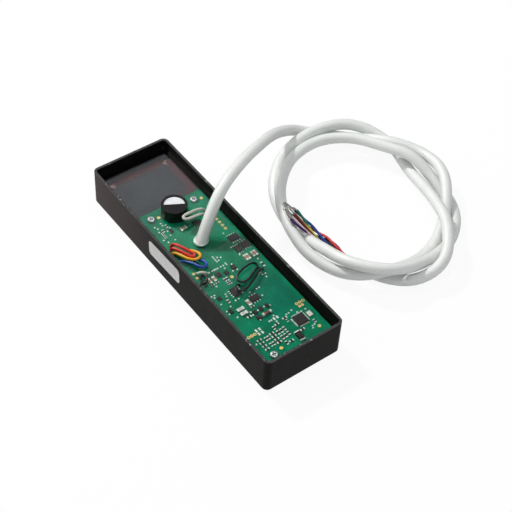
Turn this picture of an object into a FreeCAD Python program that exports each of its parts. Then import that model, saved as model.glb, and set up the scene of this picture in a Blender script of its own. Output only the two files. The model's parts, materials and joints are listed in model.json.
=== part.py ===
# Slim embedded card reader, open back up, with its cable coiled beside it.
# Millimetres, +Z up. The origin is the centre of the front face, which lies on the floor.
# +X runs along the tray away from the antenna end, +Y across it towards the coiled cable.

import FreeCAD, Part
import math
import os

Vector = FreeCAD.Vector
UP = Vector(0, 0, 1)

# Tray
TRAY_LENGTH = 145.0
TRAY_WIDTH = 43.0
TRAY_HEIGHT = 20.5
TRAY_WALL = 1.3
TRAY_FLOOR = 2.0
TRAY_CORNER_RADIUS = 3.0
FRONT_EDGE_RADIUS = 1.0

# Resin
RESIN_LEVEL = 15.2

# Boards
BOARD_TOP = 12.0
BOARD_THICKNESS = 1.6
BOARD_SIDE_GAP = 1.2
BOARD_END_GAP = 2.2
MAIN_BOARD_LENGTH = 107.0
# Places on the main board are given from its zero line, this far from its near end,
# and across it from its middle, for a board of this half width.
LAYOUT_ZERO = 69.0
LAYOUT_HALF_WIDTH = 19.0

# Board screws and the posts under them
SCREW_HEAD_DIAMETER = 4.2
SCREW_HEAD_HEIGHT = 1.6
SCREW_SHANK_DIAMETER = 2.2
SCREW_LENGTH = 6.0
SCREW_SLOT_WIDTH = 0.6
SCREW_SLOT_DEPTH = 0.7
SCREW_Y = 12.4
SCREW_NEAR_X = 65.5
SCREW_FAR_X = -33.5
SCREW_HOLE_CLEARANCE = 0.15
POST_DIAMETER = 5.5
REST_POST_INSET = 3.0

# Buzzer
BUZZER_DIAMETER = 12.9
BUZZER_HEIGHT = 8.0
BUZZER_WALL = 0.8
BUZZER_RIM_WIDTH = 1.3
BUZZER_RIM_HEIGHT = 0.4
BUZZER_X = -31.0
BUZZER_Y = -0.7
BUZZER_DISC_THICKNESS = 0.3
BUZZER_CERAMIC_DIAMETER = 8.0
BUZZER_PIN_DIAMETER = 0.8
BUZZER_PIN_PITCH = 7.6
BUZZER_PIN_TAIL = 2.0
STICKER_THICKNESS = 0.15
STICKER_CUT_ANGLE = 61.0
STICKER_CUT_OFFSET = 0.3

# Antenna winding
TRACK_TURNS = 5
TRACK_WIDTH = 0.45
TRACK_PITCH = 0.78
TRACK_THICKNESS = 0.1
TRACK_INSET_END = 3.5
TRACK_INSET_SIDE = 0.4
TRACK_INSET_SPLIT = 0.4
TRACK_CORNER_RADIUS = 4.6
PAD_THICKNESS = 0.12

# Chip bodies
CHIP_HEIGHT = 1.3
SMALL_CHIP_HEIGHT = 1.0
LEAD_THICKNESS = 0.25
LEAD_WIDTH = 0.45
LEAD_FOOT = 0.9
CAPACITOR_HEIGHT = 1.2
RESISTOR_HEIGHT = 0.55
END_CAP_SHARE = 0.24

# Round cable and wires
CABLE_DIAMETER = 5.8
CONDUCTOR_DIAMETER = 1.3
TINNED_DIAMETER = 0.9
TINNED_LENGTH = 7.0
LINK_WIRE_DIAMETER = 1.4
BLACK_WIRE_DIAMETER = 1.1
BEND_SHARE = 0.45
# The cable's gap to itself is measured between places at least this far apart along it.
LEAST_STRETCH_APART = 60.0

# Cable entry
ENTRY_X = -8.0
ENTRY_Y = -0.6
COLLAR_FLARE = 1.0
COLLAR_HEIGHT = 1.3

# Outside label
LABEL_THICKNESS = 0.15
LABEL_LENGTH = 25.6
LABEL_HEIGHT = 8.6
LABEL_CORNER_RADIUS = 2.0
LABEL_X = -8.6
LABEL_Z = 12.1
LABEL_TILT = 2.6

# Status light
LIGHT_X = 50.0
LIGHT_SIZE = 3.2
LIGHT_HEIGHT = 1.4
PIPE_DIAMETER = 5.0
PIPE_FLANGE = 1.0

# Antenna solder joints
ANTENNA_PAD_INSET_END = 6.3
ANTENNA_PAD_INSET_SIDE = 3.6
ANTENNA_PAD_DIAMETER = 3.0

# Row of plated holes
HEADER_Y = 14.3
HEADER_START = -19.2
HEADER_PITCH = 2.5
HEADER_COUNT = 5
HEADER_HOLE = 0.9
HEADER_BORE = 0.45
HEADER_RING = 1.6

# Test points
TEST_POINT_DIAMETER = 1.7
TEST_POINT_HEIGHT = 0.35
TEST_POINTS = [(-32.3, 16.2), (-32.8, -8.6), (63.7, 14.6), (64.1, -7.3), (17.8, -1.2)]

# Plated rings and gold spots
GOLD_RING_OUTER = 1.6
GOLD_RING_INNER = 0.7
GOLD_DOT_DIAMETER = 1.45
GOLD_RINGS = [(47.6, 17.6), (47.6, 15.8), (47.6, 14.0), (51.2, -12.5), (51.2, -14.2), (51.2, -15.9)]
GOLD_DOTS = [(49.5, 15.9), (49.5, 14.3), (6.3, -15.0), (9.3, -15.0)]

# Solder spots and pads
SOLDER_DOT_DIAMETER = 0.8
SOLDER_DOT_HEIGHT = 0.3
SOLDER_DOTS = [
    (-29.0, -10.0), (-27.4, -10.0), (-28.3, -13.8), (-26.8, -13.0), (-24.5, -13.8),
    (-23.0, -10.0), (-20.0, -10.2), (-19.0, -14.8), (-16.4, -10.0), (-24.2, -7.8), (-16.8, -13.6),
    (4.9, 1.5), (4.0, 0.1), (5.9, -0.4), (2.6, -1.6), (3.7, -1.6), (5.0, -1.6), (6.1, -1.6),
    (11.5, -0.9), (9.1, 1.2), (10.1, 1.2), (11.2, 3.3), (15.0, 1.3), (18.6, -10.5), (8.4, 10.0),
    (2.5, 9.3), (23.0, 11.5), (24.7, 13.1), (24.6, 11.5), (26.6, 12.3), (23.0, 10.3), (30.0, 5.5),
    (30.1, 4.0), (30.0, 0.2), (24.7, -9.8), (26.0, -10.1), (22.5, -14.5), (22.5, -16.1),
    (23.8, -15.2), (32.0, -12.1), (28.6, -15.0), (30.3, -6.3), (30.3, -8.1), (34.7, 3.9),
    (41.4, 3.3), (40.5, 0.5), (40.8, -3.1), (39.8, -6.5), (41.8, -6.5), (38.9, -13.2), (33.4, -15.3),
    (35.5, -15.3), (46.0, -5.5), (47.2, 1.0), (48.9, -1.5), (48.9, -2.6), (50.7, 0.1), (52.4, 13.0),
    (51.7, 11.1), (61.7, 13.4), (52.3, 15.4), (49.9, 7.6), (50.0, 6.2), (49.3, 9.6), (61.9, 12.1),
    (63.0, 11.6), (56.3, -15.3), (15.3, 15.6), (15.4, 3.6), (-7.0, 11.5),
]
PAD_COLUMN_X = 9.75
PAD_COLUMN_WIDTH = 0.8
PAD_COLUMN_LENGTH = 0.7
PAD_COLUMN_PLACES = [-0.5, -1.9, -3.7, -4.7, -5.7, -6.8, -8.6]
TEST_PAD_LENGTH = 1.6
TEST_PAD_WIDTH = 0.9
TEST_PAD_PLACES = [(49.9, -8.9), (52.1, -8.9), (49.9, -10.8), (52.1, -10.8), (48.8, 1.9), (48.8, 0.1)]

# Chips with leads
CHIP_BEVEL = 0.2
# Each one: centre, body length and width, pitch of its leads, and True for leads along X.
CHIPS = {
    "cable_driver_chip": (-1.9, 13.9, 4.0, 5.2, 1.27, True),
    "power_switch_chip": (4.6, 16.0, 4.0, 4.0, 1.25, True),
    "regulator_chip": (5.1, 11.6, 4.0, 3.4, 1.1, True),
    "radio_chip": (26.1, -5.2, 5.0, 4.2, 1.27, False),
    "memory_chip": (34.1, 0.0, 3.2, 4.7, 1.5, True),
}
# Leads on each side that has them.
CHIP_LEAD_COUNTS = {
    "cable_driver_chip": 4,
    "power_switch_chip": 3,
    "regulator_chip": 3,
    "radio_chip": 4,
    "memory_chip": 3,
}

# Microcontroller
CONTROLLER_X = 55.9
CONTROLLER_Y = 9.7
CONTROLLER_SIZE = 5.8
CONTROLLER_LEAD_COUNT = 8
CONTROLLER_PITCH = 0.65
CONTROLLER_LEAD_WIDTH = 0.35
CONTROLLER_LEAD_LENGTH = 0.8

# Two-ended chip parts: x, y, length, width, and True where the part lies along X.
TAN_CAPACITORS = [
    (11.8, 16.8, 3.4, 1.2, True), (11.8, 15.2, 3.4, 1.2, True),
    (11.8, 12.5, 3.8, 1.2, True), (11.8, 11.0, 3.8, 1.2, True),
    (14.4, -8.9, 3.2, 1.5, True), (14.4, -11.5, 3.2, 1.5, True),
    (35.0, -4.1, 3.6, 1.7, True),
    (-20.0, -2.7, 3.4, 1.9, False),
]
SILVER_CAPACITORS = [(36.0, -9.5, 3.7, 1.8, False), (38.8, -9.5, 3.7, 1.8, False)]
SMALL_PARTS = [
    (56.0, 0.5, 2.2, 1.1, True), (59.2, 0.5, 2.2, 1.1, True),
    (56.3, -1.4, 2.4, 1.1, True), (59.6, -1.4, 2.4, 1.1, True),
    (56.3, -3.2, 2.4, 1.1, True), (59.6, -3.2, 2.4, 1.1, True),
    (55.1, -6.0, 2.4, 1.1, False), (57.0, -6.0, 2.4, 1.1, False),
    (59.0, -6.0, 2.4, 1.1, False), (61.0, -6.0, 2.4, 1.1, False),
    (56.3, -8.5, 2.2, 1.0, True), (60.2, -8.5, 2.2, 1.0, True),
    (56.3, -10.0, 2.2, 1.0, True), (60.2, -10.0, 2.2, 1.0, True),
    (55.1, -12.9, 2.2, 1.0, False), (57.1, -12.9, 2.2, 1.0, False),
    (59.1, -12.9, 2.2, 1.0, False), (61.2, -12.9, 2.2, 1.0, False),
    (51.2, 4.3, 2.4, 1.0, False), (53.1, 4.4, 1.6, 0.9, True),
    (52.2, -0.9, 2.3, 1.0, False), (53.2, -3.3, 2.0, 1.0, True),
    (63.4, -1.1, 2.3, 1.1, False), (63.2, -3.5, 2.2, 1.0, True),
    (61.0, 7.0, 2.4, 1.1, False), (60.2, 14.5, 1.9, 1.1, True),
    (17.6, -3.6, 2.2, 0.9, True), (17.6, -5.0, 2.2, 0.9, True),
    (19.4, 15.5, 3.0, 1.1, True), (17.0, -8.9, 1.6, 0.8, False), (17.0, -11.5, 1.6, 0.8, False),
    (29.0, -11.2, 2.2, 1.1, True), (37.7, -3.9, 1.9, 0.8, False), (41.6, -8.6, 2.2, 1.2, False),
    (20.2, -3.6, 1.6, 0.9, True), (20.2, -5.0, 1.6, 0.9, True),
    (-26.0, -8.6, 2.0, 1.0, True), (-22.6, -13.0, 1.0, 2.0, False), (-20.2, -13.0, 1.0, 2.0, False),
    (-24.2, -11.6, 2.0, 1.0, True),
]

# Small square parts: x, y, length, width.
TRANSISTORS = [
    (13.2, 2.8, 2.6, 2.2), (14.3, -1.9, 2.0, 2.0), (13.2, -5.6, 2.8, 2.6), (13.0, -14.4, 1.9, 1.8),
    (15.3, -14.4, 1.9, 1.8), (25.3, -13.8, 2.0, 2.0), (34.4, -13.7, 2.6, 1.7), (40.8, 2.0, 2.5, 1.6),
    (40.8, -1.5, 2.6, 1.6), (41.0, -4.9, 2.2, 2.0), (44.5, -5.3, 2.0, 2.6), (-19.6, 5.0, 3.0, 4.4),
    (-22.2, -8.4, 2.6, 1.6),
]

# Round diode
ROUND_DIODE_X = 44.6
ROUND_DIODE_Y = -0.8
ROUND_DIODE_LENGTH = 4.9
ROUND_DIODE_DIAMETER = 1.5
ROUND_DIODE_CAP_LENGTH = 1.0
ROUND_DIODE_CAP_DIAMETER = 1.9

# Power diode
POWER_DIODE_X = 63.3
POWER_DIODE_Y = 3.7
POWER_DIODE_LENGTH = 4.0
POWER_DIODE_WIDTH = 2.8
POWER_DIODE_HEIGHT = 2.1
POWER_DIODE_TAB = 0.8

# Crystal
CRYSTAL_X = 55.6
CRYSTAL_Y = 15.3
CRYSTAL_LENGTH = 3.0
CRYSTAL_WIDTH = 2.2
CRYSTAL_HEIGHT = 0.8

# Short wire loops, point by point between their two drops to the board.
RED_LOOP = [(-13.2, -14.6, 14.8), (-12.2, -13.8, 16.6), (-9.2, -12.6, 17.4), (-4.9, -11.0, 17.5),
            (-1.0, -9.6, 17.4), (-0.2, -9.9, 17.3), (0.1, -10.7, 17.2), (-0.3, -11.5, 17.1),
            (-3.3, -12.7, 17.0), (-7.2, -14.1, 16.9), (-10.4, -15.4, 16.4), (-11.4, -15.9, 14.8)]
YELLOW_LOOP = [(-9.0, -16.3, 14.6), (-7.6, -15.9, 15.8), (-5.4, -15.2, 16.4), (-1.4, -13.9, 16.8),
               (1.4, -12.1, 17.0), (2.3, -9.8, 17.0), (1.3, -7.5, 16.8), (-1.1, -6.8, 16.2),
               (-3.7, -7.6, 15.5), (-6.1, -8.5, 14.6)]
BLUE_LOOP = [(-3.0, -15.6, 14.2), (-1.8, -15.1, 14.8), (0.3, -14.1, 15.6), (3.3, -12.6, 16.3),
             (6.2, -11.8, 16.6), (7.7, -10.3, 16.6), (7.5, -8.3, 16.6), (5.6, -7.5, 16.4),
             (3.6, -8.0, 15.9), (1.4, -9.1, 15.2), (-0.5, -10.3, 14.2)]
WHITE_LOOP = [(-23.2, 11.7, 14.6), (-22.9, 10.9, 16.6), (-22.8, 9.4, 18.0), (-22.9, 6.8, 18.8),
              (-22.9, 3.2, 19.1), (-22.9, 0.2, 19.2), (-22.3, -1.5, 19.2), (-21.0, -1.7, 19.0),
              (-20.2, -0.2, 18.8), (-20.3, 3.4, 18.2), (-20.6, 6.8, 17.4), (-20.8, 9.6, 16.2),
              (-20.9, 11.4, 14.6)]
WHITE_STUB = [(7.6, -14.2, 14.0), (8.4, -13.0, 15.1), (9.3, -11.5, 15.2), (9.7, -10.2, 14.0)]
BLACK_LOOP = [(18.4, 12.6, 14.4), (18.1, 10.8, 16.2), (18.2, 8.4, 16.9), (18.7, 4.6, 17.0),
              (20.1, 0.5, 17.0), (22.0, -1.7, 16.8), (24.2, -1.8, 16.6), (25.6, -0.1, 16.6),
              (25.2, 2.9, 16.6), (23.5, 6.4, 16.4), (21.6, 9.8, 15.9), (20.6, 12.2, 14.2)]
BLACK_LOW_LOOP = [(21.9, 13.6, 13.8), (23.0, 10.4, 15.0), (25.0, 6.8, 15.3), (26.8, 3.2, 15.4),
                  (28.4, -0.2, 15.4), (28.8, -3.2, 15.4), (27.4, -5.0, 15.3), (25.2, -4.6, 15.2),
                  (24.1, -3.0, 15.0), (23.9, -1.4, 13.8)]
BLACK_RING_LOOP = [(10.9, -14.0, 14.2), (10.7, -12.9, 15.6), (11.8, -12.1, 16.0), (13.4, -12.2, 16.0),
                   (14.9, -13.4, 15.9), (15.3, -15.2, 15.6), (14.4, -16.7, 14.2)]

# Worked out from the sizes above
BOARD_BOTTOM = BOARD_TOP - BOARD_THICKNESS
INNER_LENGTH = TRAY_LENGTH - 2 * TRAY_WALL
INNER_WIDTH = TRAY_WIDTH - 2 * TRAY_WALL
INNER_RADIUS = TRAY_CORNER_RADIUS - TRAY_WALL
BOARD_START = -INNER_LENGTH / 2 + BOARD_END_GAP
BOARD_END = INNER_LENGTH / 2 - BOARD_END_GAP
BOARD_SPLIT = BOARD_END - MAIN_BOARD_LENGTH
BOARD_HALF_WIDTH = INNER_WIDTH / 2 - BOARD_SIDE_GAP
LAYOUT_X = BOARD_END - LAYOUT_ZERO
LAYOUT_SPREAD = BOARD_HALF_WIDTH / LAYOUT_HALF_WIDTH
SCREW_PLACES = [(SCREW_FAR_X, SCREW_Y), (SCREW_FAR_X, -SCREW_Y), (SCREW_NEAR_X, -SCREW_Y)]
POST_PLACES = SCREW_PLACES + [(SCREW_NEAR_X, SCREW_Y)]
REST_POST_X = BOARD_START + REST_POST_INSET
REST_POST_Y = BOARD_HALF_WIDTH - POST_DIAMETER / 2
REST_PLACES = [(REST_POST_X, REST_POST_Y), (REST_POST_X, -REST_POST_Y)]
ANTENNA_PAD_X = BOARD_START + ANTENNA_PAD_INSET_END
ANTENNA_PAD_Y = BOARD_HALF_WIDTH - ANTENNA_PAD_INSET_SIDE

# Cable arc from the resin to the floor, chosen point by point.
LEAD_POINTS = [
    (ENTRY_X, ENTRY_Y, RESIN_LEVEL),
    (-11.0, 6.0, 25.5),
    (-16.5, 16.5, 34.0),
    (-24.5, 33.5, 35.0),
    (-32.5, 50.0, 31.0),
    (-40.5, 64.5, 24.5),
    (-45.8, 75.0, 17.6),
    (-49.8, 84.5, 10.8),
    (-50.6, 92.3, 5.8),
    (-46.2, 99.6, 3.3),
]

# The coil goes clockwise round its centre in steps of one angle.
# Each step has its own distance from the centre and its own height.
COIL_CENTRE_X = 7.0
COIL_CENTRE_Y = 87.0
COIL_START_ANGLE = -214.0
COIL_STEP = 24.0
COIL_RADII = [
    47.5, 42.5, 47.5, 45.5, 43.1, 43.5, 46.0, 52.5, 54.0, 49.0,
    44.5, 42.0, 42.0, 44.5, 45.0, 41.5, 36.5, 38.5, 43.0, 48.5,
    50.3, 51.5, 57.5, 53.0, 41.5, 39.5, 42.5, 46.5, 51.0, 52.0,
    54.0, 49.5, 36.5, 34.0, 36.0, 46.5, 61.0, 57.0, 41.5,
]
COIL_HEIGHTS = [
    3.5, 10.5, 8.5, 13.0, 7.6, 3.0, 3.0, 10.5, 7.0, 6.0,
    9.5, 9.5, 9.0, 8.0, 9.0, 10.0, 11.0, 12.5, 3.5, 3.0,
    3.5, 7.5, 15.0, 15.0, 8.0, 3.0, 3.0, 3.0, 6.0, 10.0,
    9.5, 3.5, 3.0, 6.0, 10.5, 13.5, 10.0, 3.0, 3.0,
]

# Middle of the fanned conductors, from near the cut end of the cable to their stripped tips.
FAN_POINTS = [
    (29.0, 57.6, 2.3),
    (21.5, 58.4, 2.4),
    (14.5, 57.0, 3.6),
    (8.5, 54.8, 7.6),
    (4.2, 52.0, 11.8),
    (2.0, 50.0, 14.6),
]
# How far each layer of conductors lies to the far side of that middle, point by point.
FAN_SHIFTS = [
    (-0.7, 0.5, 0.2, -0.9, -1.4, -1.5),
    (-0.8, -0.8, 0.8, 2.2, 2.2, 1.6),
]
# The lower layer and the upper layer, from the near side to the far side.
FAN_LAYERS = [
    ("conductor_pink", "conductor_yellow", "conductor_blue", "conductor_green"),
    ("conductor_purple", "conductor_black", "conductor_brown", "conductor_red"),
]
FAN_PITCH = 1.54
FAN_LAYER_STEP = 1.45
CABLE_CORE_PITCH = 1.4


def save(name, solids):
    """Write one sub-part as one STEP file."""
    shape = solids[0] if len(solids) == 1 else Part.makeCompound(solids)
    shape.exportStep(os.path.join("parts", name + ".step"))


def box(x0, x1, y0, y1, z0, z1):
    """A box between two corners."""
    return Part.makeBox(x1 - x0, y1 - y0, z1 - z0, Vector(x0, y0, z0))


def block(x, y, length, width, height, bottom=BOARD_TOP):
    """A box standing on the board, centred on x and y."""
    return Part.makeBox(length, width, height, Vector(x - length / 2, y - width / 2, bottom))


def disc(x, y, diameter, bottom, top):
    """An upright cylinder."""
    return Part.makeCylinder(diameter / 2, top - bottom, Vector(x, y, bottom))


def ring(x, y, outer, inner, bottom, top):
    """An upright ring."""
    return disc(x, y, outer, bottom, top).cut(disc(x, y, inner, bottom, top))


def on_board(x, y):
    """Where a place of the main board's layout lies."""
    return LAYOUT_X + x, LAYOUT_SPREAD * y


def board_disc(x, y, diameter, bottom, top):
    """An upright cylinder at a place of the layout."""
    return disc(*on_board(x, y), diameter, bottom, top)


def board_ring(x, y, outer, inner, bottom, top):
    """An upright ring at a place of the layout."""
    return ring(*on_board(x, y), outer, inner, bottom, top)


def board_block(x, y, length, width, height, bottom=BOARD_TOP):
    """A box centred on a place of the layout."""
    return block(*on_board(x, y), length, width, height, bottom)


def rounded_slab(length, width, radius, bottom, top):
    """A block with rounded upright edges, centred on the origin."""
    slab = box(-length / 2, length / 2, -width / 2, width / 2, bottom, top)
    upright = [e for e in slab.Edges if e.BoundBox.ZLength > (top - bottom) / 2]
    return slab.makeFillet(radius, upright)


def unit(vector):
    """The same direction, one long."""
    return vector * (1 / vector.Length)


def bends(points):
    """Each inner point of a route with its arc: start, middle, end and radius."""
    arcs = []
    for before, here, after in zip(points, points[1:], points[2:]):
        inward = unit(before - here)
        onward = unit(after - here)
        reach = BEND_SHARE * min((before - here).Length, (after - here).Length)
        half_turn = (math.pi - inward.getAngle(onward)) / 2
        radius = reach / math.tan(half_turn)
        middle_way = unit(inward + onward)
        centre_distance = radius / math.cos(half_turn)
        middle = here + middle_way * (centre_distance - radius)
        arcs.append((here + inward * reach, middle, here + onward * reach, radius))
    return arcs


def route(points):
    """Straight runs joined by tangent arcs."""
    edges = []
    last = points[0]
    for start, middle, end, radius in bends(points):
        edges.append(Part.LineSegment(last, start).toShape())
        edges.append(Part.Arc(start, middle, end).toShape())
        last = end
    edges.append(Part.LineSegment(last, points[-1]).toShape())
    return Part.Wire(edges)


def tube(points, diameter):
    """A round bar along a route of points."""
    path = route(points)
    direction = points[1] - points[0]
    section = Part.Wire([Part.makeCircle(diameter / 2, points[0], direction)])
    return path.makePipeShell([section], True, False)


def describe(name, points, diameter, solid):
    """Print a cord's length, its bend radii and how well its solid keeps its section."""
    length = route(points).Length
    radii = [round(bend[3], 1) for bend in bends(points)]
    expected = length * math.pi * diameter ** 2 / 4
    print(name, "length", round(length, 1), "least radius", min(radii), "radii", radii)
    print("   volume", round(solid.Volume, 1), "section times length", round(expected, 1))


def least_gap(points, diameter, apart):
    """The least gap of a tube to itself, between places further apart along it than apart."""
    path = route(points)
    spots = path.discretize(Distance=1.0)
    step = path.Length / (len(spots) - 1)
    skip = int(apart / step)
    least = path.Length
    for index, spot in enumerate(spots):
        for other in spots[index + skip:]:
            least = min(least, (spot - other).Length)
    return least - diameter


def vectors(places):
    """Turn rows of three numbers into vectors."""
    return [Vector(*place) for place in places]


# Tray

def make_posts():
    """The posts that the screws go into, and the plain ones under the boards' other corners."""
    posts = [board_disc(x, y, POST_DIAMETER, TRAY_FLOOR, BOARD_BOTTOM) for x, y in POST_PLACES]
    return posts + [disc(x, y, POST_DIAMETER, TRAY_FLOOR, BOARD_BOTTOM) for x, y in REST_PLACES]


def make_tray():
    outer = rounded_slab(TRAY_LENGTH, TRAY_WIDTH, TRAY_CORNER_RADIUS, 0, TRAY_HEIGHT)
    front_edges = [e for e in outer.Edges if e.BoundBox.ZMax < FRONT_EDGE_RADIUS / 2]
    outer = outer.makeFillet(FRONT_EDGE_RADIUS, front_edges)
    inside = rounded_slab(INNER_LENGTH, INNER_WIDTH, INNER_RADIUS, TRAY_FLOOR, TRAY_HEIGHT)
    tray = outer.cut(inside)
    tray = tray.fuse(make_posts())
    bore_bottom = BOARD_TOP - SCREW_LENGTH
    bores = [board_disc(x, y, SCREW_SHANK_DIAMETER, bore_bottom, BOARD_BOTTOM) for x, y in SCREW_PLACES]
    light_hole = board_disc(LIGHT_X, 0, PIPE_DIAMETER, 0, TRAY_FLOOR)
    return tray.cut(bores + [light_hole])


def make_light_pipe():
    top = BOARD_BOTTOM - LIGHT_HEIGHT
    stem = board_disc(LIGHT_X, 0, PIPE_DIAMETER, 0, top)
    flange = board_disc(LIGHT_X, 0, PIPE_DIAMETER + 2 * PIPE_FLANGE, TRAY_FLOOR, TRAY_FLOOR + PIPE_FLANGE)
    return stem.fuse(flange).removeSplitter()


def make_status_light():
    return board_block(LIGHT_X, 0, LIGHT_SIZE, LIGHT_SIZE, LIGHT_HEIGHT, BOARD_BOTTOM - LIGHT_HEIGHT)


def make_label():
    """A blank strip with rounded corners, stuck a little askew on the outer long wall."""
    label = rounded_slab(LABEL_LENGTH, LABEL_HEIGHT, LABEL_CORNER_RADIUS, 0, LABEL_THICKNESS)
    label.rotate(Vector(0, 0, 0), UP, LABEL_TILT)
    label.rotate(Vector(0, 0, 0), Vector(1, 0, 0), 90)
    label.translate(Vector(LABEL_X, -TRAY_WIDTH / 2, LABEL_Z))
    return label


# Boards

def screw_clearance(x, y):
    hole = SCREW_SHANK_DIAMETER + 2 * SCREW_HOLE_CLEARANCE
    return board_disc(x, y, hole, BOARD_BOTTOM, BOARD_TOP)


def make_main_board(pins):
    board = box(BOARD_SPLIT, BOARD_END, -BOARD_HALF_WIDTH, BOARD_HALF_WIDTH, BOARD_BOTTOM, BOARD_TOP)
    holes = [screw_clearance(x, y) for x, y in SCREW_PLACES]
    header = [board_disc(x, HEADER_Y, HEADER_HOLE, BOARD_BOTTOM, BOARD_TOP) for x in header_columns()]
    return board.cut(holes + header + pins)


def make_antenna_board():
    return box(BOARD_START, BOARD_SPLIT, -BOARD_HALF_WIDTH, BOARD_HALF_WIDTH, BOARD_BOTTOM, BOARD_TOP)


def make_antenna_winding():
    """Flat rounded copper turns, one inside the other."""
    turns = []
    length = BOARD_SPLIT - BOARD_START
    for turn in range(TRACK_TURNS):
        inset = turn * TRACK_PITCH
        x0 = BOARD_START + TRACK_INSET_END + inset
        x1 = BOARD_START + length - TRACK_INSET_SPLIT - inset
        half = BOARD_HALF_WIDTH - TRACK_INSET_SIDE - inset
        radius = TRACK_CORNER_RADIUS - inset
        outer = flat_slab(x0, x1, half, radius)
        inner = flat_slab(x0 + TRACK_WIDTH, x1 - TRACK_WIDTH, half - TRACK_WIDTH, radius - TRACK_WIDTH)
        turns.append(outer.cut(inner))
    return turns


def flat_slab(x0, x1, half_width, radius):
    """A thin rounded sheet lying on the board."""
    slab = rounded_slab(x1 - x0, 2 * half_width, radius, BOARD_TOP, BOARD_TOP + TRACK_THICKNESS)
    slab.translate(Vector((x0 + x1) / 2, 0, 0))
    return slab


def make_antenna_joints():
    """Two low solder domes on the winding's ends."""
    joints = []
    for side in (-1, 1):
        ball = Part.makeSphere(ANTENNA_PAD_DIAMETER, Vector(ANTENNA_PAD_X, side * ANTENNA_PAD_Y, 0))
        rise = math.sqrt(ANTENNA_PAD_DIAMETER ** 2 - (ANTENNA_PAD_DIAMETER / 2) ** 2)
        ball.translate(Vector(0, 0, BOARD_TOP + TRACK_THICKNESS - rise))
        keep = disc(ANTENNA_PAD_X, side * ANTENNA_PAD_Y, ANTENNA_PAD_DIAMETER,
                    BOARD_TOP + TRACK_THICKNESS, BOARD_TOP + ANTENNA_PAD_DIAMETER)
        joints.append(ball.common(keep))
    return joints


# Fixings

def make_screw(x, y):
    """A pan head screw with a cross slot."""
    x, y = on_board(x, y)
    head = disc(x, y, SCREW_HEAD_DIAMETER, BOARD_TOP, BOARD_TOP + SCREW_HEAD_HEIGHT)
    rim = [e for e in head.Edges if e.BoundBox.ZMin > BOARD_TOP + SCREW_HEAD_HEIGHT / 2]
    head = head.makeFillet(SCREW_HEAD_HEIGHT / 2, rim)
    slot_bottom = BOARD_TOP + SCREW_HEAD_HEIGHT - SCREW_SLOT_DEPTH
    slot_length = SCREW_HEAD_DIAMETER / 2
    slots = [block(x, y, slot_length, SCREW_SLOT_WIDTH, SCREW_SLOT_DEPTH, slot_bottom),
             block(x, y, SCREW_SLOT_WIDTH, slot_length, SCREW_SLOT_DEPTH, slot_bottom)]
    shank = disc(x, y, SCREW_SHANK_DIAMETER, BOARD_TOP - SCREW_LENGTH, BOARD_TOP)
    return head.cut(slots).fuse(shank).removeSplitter()


# Buzzer

def make_buzzer_case():
    top = BOARD_TOP + BUZZER_HEIGHT
    body = board_disc(BUZZER_X, BUZZER_Y, BUZZER_DIAMETER, BOARD_TOP, top)
    dish_diameter = BUZZER_DIAMETER - 2 * BUZZER_RIM_WIDTH
    dish = board_disc(BUZZER_X, BUZZER_Y, dish_diameter, top - BUZZER_RIM_HEIGHT, top)
    hollow_diameter = BUZZER_DIAMETER - 2 * BUZZER_WALL
    roof = top - BUZZER_RIM_HEIGHT - BUZZER_WALL
    hollow = board_disc(BUZZER_X, BUZZER_Y, hollow_diameter, BOARD_TOP + BUZZER_WALL, roof)
    return body.cut([dish, hollow] + make_buzzer_pins())


def buzzer_disc_height():
    return BOARD_TOP + BUZZER_HEIGHT / 2


def make_buzzer_disc():
    bottom = buzzer_disc_height()
    diameter = BUZZER_DIAMETER - 2 * BUZZER_WALL
    return board_disc(BUZZER_X, BUZZER_Y, diameter, bottom, bottom + BUZZER_DISC_THICKNESS)


def make_buzzer_ceramic():
    top = buzzer_disc_height()
    return board_disc(BUZZER_X, BUZZER_Y, BUZZER_CERAMIC_DIAMETER, top - BUZZER_DISC_THICKNESS, top)


def make_buzzer_pins():
    bottom = BOARD_BOTTOM - BUZZER_PIN_TAIL
    top = BOARD_TOP + BUZZER_WALL
    offsets = (-BUZZER_PIN_PITCH / 2, BUZZER_PIN_PITCH / 2)
    x, y = on_board(BUZZER_X, BUZZER_Y)
    return [disc(x, y + offset, BUZZER_PIN_DIAMETER, bottom, top) for offset in offsets]


def make_buzzer_sticker():
    """A blank half-round sticker inside the rim."""
    bottom = BOARD_TOP + BUZZER_HEIGHT - BUZZER_RIM_HEIGHT
    diameter = BUZZER_DIAMETER - 2 * BUZZER_RIM_WIDTH
    sheet = board_disc(BUZZER_X, BUZZER_Y, diameter, bottom, bottom + STICKER_THICKNESS)
    cutter = box(-diameter, diameter, -diameter, STICKER_CUT_OFFSET, bottom, bottom + STICKER_THICKNESS)
    cutter.rotate(Vector(0, 0, 0), UP, STICKER_CUT_ANGLE)
    cutter.translate(Vector(*on_board(BUZZER_X, BUZZER_Y), 0))
    return sheet.cut(cutter)


# Plated holes, test points and solder spots

def header_columns():
    return [HEADER_START + HEADER_PITCH * index for index in range(HEADER_COUNT)]


def make_header_rings():
    """Plated sleeves through the board with a flat ring on top."""
    sleeves = []
    for x in header_columns():
        collar = board_ring(x, HEADER_Y, HEADER_RING, HEADER_BORE, BOARD_TOP, BOARD_TOP + PAD_THICKNESS)
        sleeve = board_ring(x, HEADER_Y, HEADER_HOLE, HEADER_BORE, BOARD_BOTTOM, BOARD_TOP)
        sleeves.append(collar.fuse(sleeve))
    return sleeves


def make_test_points():
    top = BOARD_TOP + TEST_POINT_HEIGHT
    return [board_disc(x, y, TEST_POINT_DIAMETER, BOARD_TOP, top) for x, y in TEST_POINTS]


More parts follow.
